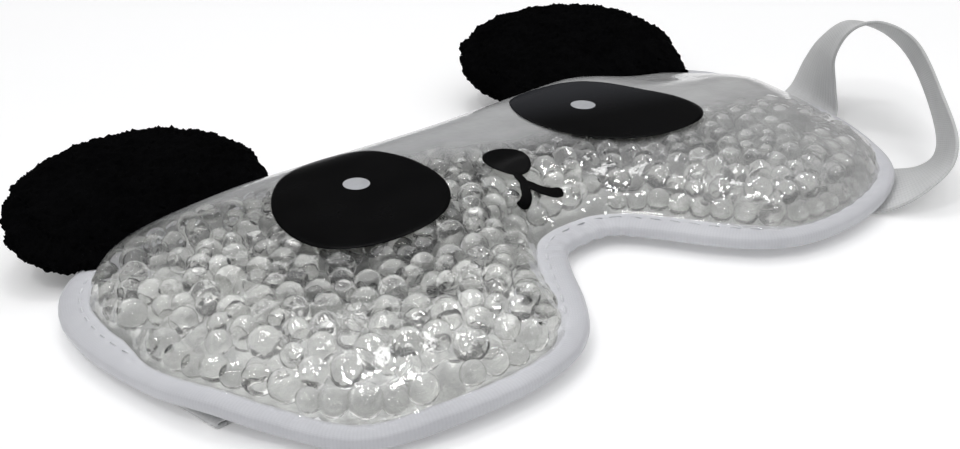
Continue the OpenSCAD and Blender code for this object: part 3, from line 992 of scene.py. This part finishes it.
def slab(name, rows, half_w, thickness, material, m, seed, step=1.0, uv=False):
    """A soft strip swept across its width; rows are its middle line in the plane across it."""
    line = resample(np.asarray(rows, float), step, False)[0]
    t = np.gradient(line, axis=0)
    t /= np.linalg.norm(t, axis=1)[:, None]
    up = np.stack([-t[:, 1], t[:, 0]], 1)
    across = np.linspace(-half_w, half_w, int(2 * half_w / step) + 1)
    top, under = [], []
    for x in across:
        edge = min(1.0, 0.35 + (half_w - abs(x)) / thickness)
        for p, n in zip(line, up):
            rough = 0.12 * noise.noise(Vector((x + 17 * seed, p[0], p[1])) / 1.3)
            h = thickness / 2 * edge + rough
            top.append((x, *(p + n * h)))
            under.append((x, *(p - n * h)))
    n = len(line)
    faces = [(i * n + j, i * n + j + 1, (i + 1) * n + j + 1, (i + 1) * n + j)[::-1]
             for i in range(len(across) - 1) for j in range(n - 1)]
    m = np.array(m)
    top = np.array(top) @ m[:3, :3].T + m[:3, 3]
    under = np.array(under) @ m[:3, :3].T + m[:3, 3]
    points, faces = closed_shell(top, faces, under)
    return add_mesh(name, points, faces, material)


def ear_tab(side, name, seed):
    m = ear_matrix(side, 0, (0, 0, 0))
    low, high = box_mm(f"{name}_ear_tab")
    z = (low[2] + high[2]) / 2 - m[2][3]
    rows = [(-9.3, z), (-4, z), (-0.5, z), (1.2, z + 0.7), (2.2, z + 2.0), (3.2, z + 3.4), (5.5, z + 4.6)]
    return slab(f"{name}_ear_tab_plush", catmull(rows, 4, False), 19, high[2] - low[2], PLUSH, m, seed)


left_tab = ear_tab(-1, "left", 3)
right_tab = ear_tab(1, "right", 4)


def tab_stitches(side, name):
    m = np.array(ear_matrix(side, 0, (0, 0, 0)))
    z = box_mm(f"{name}_ear_stitches")[0][2] + 0.1 - m[2, 3]
    parts = []
    for i in range(-4, 5):
        ends = [np.array([i * 4 + s, -5.25, z]) @ m[:3, :3].T + m[:3, 3] for s in (-1.3, 1.3)]
        parts.append(rod(ends[0], ends[1], 0.24, np.array([0, 0, 0.25])))
    return joined(f"{name}_ear_thread", parts, DARK_THREAD)


left_tab_thread = tab_stitches(-1, "left")
right_tab_thread = tab_stitches(1, "right")

# ---- Strap ----

STRAP_W = 25.0
STRAP_T = 1.0
_, SWING = None, np.array(EAR_PIVOT["strap_swing"]["pos_m"]) / MM
RUN_Y = SWING[1] - 0.3 - STRAP_W / 2
FOLD_X = -93.6 * SCALE
LIE = STRAP_T / 2
RIGHT_SEAM = np.array([98.2, -8.5]) * SCALE


def band_points(stations, ribs=16):
    """Rings of a woven band: each station holds a middle, the width's yaw and dip in degrees."""
    middles = stations[:, :3]
    yaw, dip = np.radians(stations[:, 3]), np.radians(stations[:, 4])
    w = np.stack([np.sin(yaw) * np.cos(dip), np.cos(yaw) * np.cos(dip), -np.sin(dip)], 1)
    t = np.gradient(middles, axis=0)
    up = np.cross(t, w)
    up /= np.linalg.norm(up, axis=1)[:, None]
    u = np.linspace(-1, 1, 2 * ribs * 2 + 1)
    face = (STRAP_T / 2 - 0.08) + 0.07 * np.cos(2 * np.pi * u * ribs / 2)
    face *= np.where(np.abs(u) > 0.97, 0.62, 1)
    section = [(a, h) for a, h in zip(u, face)] + [(a, -h) for a, h in zip(u[::-1], face[::-1])]
    run = np.concatenate([[0], np.cumsum(np.linalg.norm(np.diff(middles, axis=0), axis=1))])
    points, uv = [], []
    for a, h in section:
        points.append(middles + w * (a * STRAP_W / 2) + up * h)
        uv.append(np.column_stack([run / 10, np.full(len(run), a * STRAP_W / 20 + (4 if h < 0 else 0))]))
    n = len(section)
    return np.stack(points, 1).reshape(-1, 3), np.stack(uv, 1).reshape(-1, 2), n, len(run)


def band(name, stations):
    points, uv, n, rings = band_points(stations)
    faces = tube_faces(rings, n, False)
    half = n // 2
    for base, flip in ((0, False), ((rings - 1) * n, True)):
        for k in range(half - 1):
            f = (base + k, base + n - 1 - k, base + n - 2 - k, base + k + 1)
            faces.append(f[::-1] if flip else f)
    return add_mesh(name, points, [f[::-1] for f in faces], ELASTIC, uv=uv)


def skew(stations):
    """The band strays towards the nose's side near its left fold, so a corner shows past the pad."""
    s = stations.copy()
    w = smoothstep((-50 - s[:, 0]) / 42)
    s[:, 0] += 2.0 * w
    s[:, 1] -= 8.7 * w
    s[:, 3] -= 12 * w + 40 * w * (1 - w)
    return s


def strap_band():
    stations = [[RIGHT_SEAM[0] + 0.5, RIGHT_SEAM[1] - 0.2, SWING[2], 18, 0], [103.6, -8.2, 4.2, 24, 0],
                [105.8, -7.8, 11, 34, 2], [106.4, -9.4, 18.5, 45, 6], [109, -14, 24.8, 52, 11],
                [111.8, -22, 25.4, 57, 21], [109.5, -33, 22, 54, 25], [100, -46.4, 14.8, 52, 22],
                [88, -58, 8.8, 50, 22], [79, -59.8, 4.8, 50, 16], [70, -52.5, LIE + 0.5, 52, 1.5],
                [56, -35, LIE, 46, 0], [40, -20, LIE, 30, 0], [22, RUN_Y - 2, LIE, 10, 0],
                [4, RUN_Y, LIE, 0, 0], [-30, RUN_Y, LIE, 0, 0], [-60, RUN_Y, LIE, 0, 0],
                [-80, RUN_Y, LIE, 0, 0], [FOLD_X + 1.5, RUN_Y, LIE, 0, 0]]
    line = resample(catmull(stations, 10, False), 1.3, False)[0]
    return band("strap_band", skew(line))


strap = strap_band()


def left_end():
    r = (SWING[2] + LIE) / 2
    turn = np.linspace(0, np.pi, 14)
    fold = [[FOLD_X - (r - LIE) * math.sin(a), RUN_Y, r - (r - LIE) * math.cos(a), 0, 0] for a in turn]
    rows = [[FOLD_X + 1.4, RUN_Y, LIE, 0, 0], *fold, [FOLD_X + 9, RUN_Y, 2 * r - LIE, 0, 0]]
    line = resample(np.array(rows, float), 0.5, False)[0]
    return band("strap_left_fold", skew(line))


strap_left = left_end()


def right_end():
    turn = math.radians(-18)
    d = np.array([math.cos(turn), math.sin(turn)])
    rows = [[*(RIGHT_SEAM - d * s), SWING[2], 18, 0] for s in (9, 7, 5, 3, 1, 0)]
    return band("strap_right_seam", np.array(rows, float))


strap_right = right_end()


def bartack(node, x, y, turn, name):
    low, high = box_mm(node)
    z = (low[2] + high[2]) / 2
    parts = []
    count, pitch = 13, 1.6
    c, s = math.cos(math.radians(turn)), math.sin(math.radians(turn))
    for i in range(count):
        off = (i - (count - 1) / 2) * pitch
        lean = math.radians(28 if i % 2 == 0 else -28)
        ends = []
        for k in (-1.2, 1.2):
            u, v = k * math.cos(lean), off + k * math.sin(lean)
            ends.append(np.array([x + u * c - v * s, y + u * s + v * c, z]))
        parts.append(rod(ends[0], ends[1], 0.2, np.array([0, 0, 0.12])))
    return joined(name, parts, THREAD)


left_tack = bartack("left_strap_bartack", FOLD_X + 7.5, RUN_Y - 8.5, 12, "strap_left_tack")
right_tack = bartack("right_strap_bartack", RIGHT_SEAM[0] - 5, RIGHT_SEAM[1] + 1.5, -18, "strap_right_tack")

# ---- Which body each piece rides on, and what it stands for ----

PIECES = [
    (front_film, "pad", "film", ["front_film"]),
    (back_film, "pad", "film", ["back_film"]),
    (backing, "pad", "backing", ["backing_panel"]),
    (beads, "pad", "gel", ["gel_beads"]),
    (left_eye, "pad", "print", ["left_eye_patch"]),
    (right_eye, "pad", "print", ["right_eye_patch"]),
    (nose, "pad", "print", ["nose_print"]),
    (mouth, "pad", "print", ["mouth_print"]),
    (binding, "pad", "binding", ["binding_tape"]),
    (stitches, "pad", "thread", ["binding_stitches"]),
    (left_tab_thread, "pad", "dark_thread", ["left_ear_stitches"]),
    (right_tab_thread, "pad", "dark_thread", ["right_ear_stitches"]),
    (strap_right, "pad", "elastic", ["right_strap_end"]),
    (strap_left, "pad", "elastic", ["left_strap_end"]),
    (left_tack, "pad", "thread", ["left_strap_bartack"]),
    (right_tack, "pad", "thread", ["right_strap_bartack"]),
    (strap, "strap", "elastic", ["elastic_strap"]),
]
for piece, body, finish_slot, stands_for in PIECES:
    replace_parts(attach(piece, body), *stands_for)


for side, ear, tab, name in ((-1, left_ear, left_tab, "left"), (1, right_ear, right_tab, "right")):
    for part, finish_slot in (("front", "plush"), ("back", "plush"), ("filling", "filling")):
        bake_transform(ear[part])
        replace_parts(ear[part], f"{name}_ear_{part}")
    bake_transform(tab)
    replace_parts(tab, f"{name}_ear_tab")

# ---- Studio ----


def studio():
    world = bpy.data.worlds.new("studio")
    bpy.context.scene.world = world
    world.use_nodes = True
    tree = world.node_tree
    tree.nodes.clear()
    out = tree.nodes.new("ShaderNodeOutputWorld")
    coord = tree.nodes.new("ShaderNodeTexCoord")
    split = tree.nodes.new("ShaderNodeSeparateXYZ")
    tree.links.new(coord.outputs["Generated"], split.inputs[0])
    ramp = tree.nodes.new("ShaderNodeValToRGB")
    marks = ramp.color_ramp.elements
    for _ in range(4):
        marks.new(0.5)
    for mark, (at, v) in zip(marks, ((0.0, 0.85), (0.47, 0.7), (0.53, 0.12), (0.76, 0.12), (0.85, 1.0), (1.0, 1.2))):
        mark.position = at
        mark.color = (v, v, v * 1.01, 1)
    scaled = tree.nodes.new("ShaderNodeMapRange")
    scaled.inputs["From Min"].default_value = -1
    tree.links.new(split.outputs["Z"], scaled.inputs["Value"])
    tree.links.new(scaled.outputs["Result"], ramp.inputs["Fac"])
    seen = tree.nodes.new("ShaderNodeBackground")
    seen.inputs["Color"].default_value = (1, 1, 1, 1)
    seen.inputs["Strength"].default_value = 1.0
    lit = tree.nodes.new("ShaderNodeBackground")
    tree.links.new(ramp.outputs["Color"], lit.inputs["Color"])
    path = tree.nodes.new("ShaderNodeLightPath")
    brighter = tree.nodes.new("ShaderNodeMapRange")
    brighter.inputs["To Min"].default_value, brighter.inputs["To Max"].default_value = 1.0, 1.35
    tree.links.new(path.outputs["Is Transmission Ray"], brighter.inputs["Value"])
    tree.links.new(brighter.outputs["Result"], lit.inputs["Strength"])
    mix = tree.nodes.new("ShaderNodeMixShader")
    tree.links.new(path.outputs["Is Camera Ray"], mix.inputs["Fac"])
    tree.links.new(lit.outputs[0], mix.inputs[1])
    tree.links.new(seen.outputs[0], mix.inputs[2])
    tree.links.new(mix.outputs[0], out.inputs["Surface"])


studio()


def softbox(name, place, aim, size, power):
    lamp = bpy.data.lights.new(name, "AREA")
    lamp.shape = "RECTANGLE"
    lamp.size, lamp.size_y = size
    lamp.energy = power
    holder = bpy.data.objects.new(name, lamp)
    bpy.context.scene.collection.objects.link(holder)
    holder.location = place
    holder.rotation_euler = (Vector(aim) - Vector(place)).to_track_quat("-Z", "Y").to_euler()
    return holder


LAMPS = {
    "key": ((-0.30, -0.10, 0.55), (0.06, 0.06), 0.34),
    "front_strip": ((-0.12, -0.42, 0.50), (0.50, 0.02), 0.20),
    "back_strip": ((0.30, 0.50, 0.50), (0.50, 0.03), 0.14),
    "top": ((0.05, 0.12, 0.60), (0.10, 0.10), 0.30),
}
# These show only as glints on the beads and the film
GLINTS = {
    f"glint_{k}": ((0.6 * math.cos(a) * math.cos(e), 0.6 * math.sin(a) * math.cos(e), 0.6 * math.sin(e)), (0.045, 0.045), 0.3)
    for k, (a, e) in enumerate(
        (math.radians(a), math.radians(e))
        for a, e in ((175, 38), (215, 62), (250, 40), (262, 66), (292, 52), (330, 40), (20, 62), (120, 70), (190, 80))
    )
}
for name, (place, size, power) in (LAMPS | GLINTS).items():
    lamp = softbox(name, place, (0, 0, 0), size, power)
    lamp.visible_diffuse = name not in GLINTS
    lamp.visible_transmission = name not in GLINTS

floor_look = Look("pale_floor")
floor_shader = floor_look.add(
    "ShaderNodeBsdfPrincipled",
    {"Base Color": floor_look.ramp(floor_look.noise(4, 2), (0.3, 0.93), (0.7, 0.95)), "Roughness": 0.9,
     "Specular IOR Level": 0.1, "Emission Color": (1, 1, 1, 1), "Emission Strength": 0.16},
)
floor = add_mesh("floor", np.array([[-9000, -9000, 0], [9000, -9000, 0], [9000, 9000, 0], [-9000, 9000, 0]]),
                 [(0, 1, 2, 3)], floor_look.finish(floor_shader.outputs["BSDF"]), smooth=False)


def camera():
    azimuth, elevation, roll = (math.radians(v) for v in (35.21, 26.42, -4.33))
    forward = Vector((math.sin(azimuth) * math.cos(elevation), math.cos(azimuth) * math.cos(elevation),
                      -math.sin(elevation)))
    right = Vector((math.cos(azimuth), -math.sin(azimuth), 0))
    up = right.cross(forward)
    turned = math.cos(roll) * right + math.sin(roll) * up
    top = -math.sin(roll) * right + math.cos(roll) * up
    data = bpy.data.cameras.new("camera")
    data.lens = 40.14
    holder = bpy.data.objects.new("camera", data)
    bpy.context.scene.collection.objects.link(holder)
    aim = Vector((-7.56, 1.81, 0)) * MM
    place = aim - forward * 253.7 * MM
    m = Matrix((turned, top, -forward)).transposed().to_4x4()
    m.translation = place
    holder.matrix_world = m
    data.clip_start, data.clip_end = 0.01, 50
    bpy.context.scene.camera = holder


camera()

scene = bpy.context.scene
scene.view_settings.view_transform = "Standard"
scene.cycles.max_bounces = 16
scene.cycles.transmission_bounces = 12
scene.cycles.transparent_max_bounces = 24
scene.cycles.sample_clamp_indirect = 6
scene.cycles.use_denoising = True
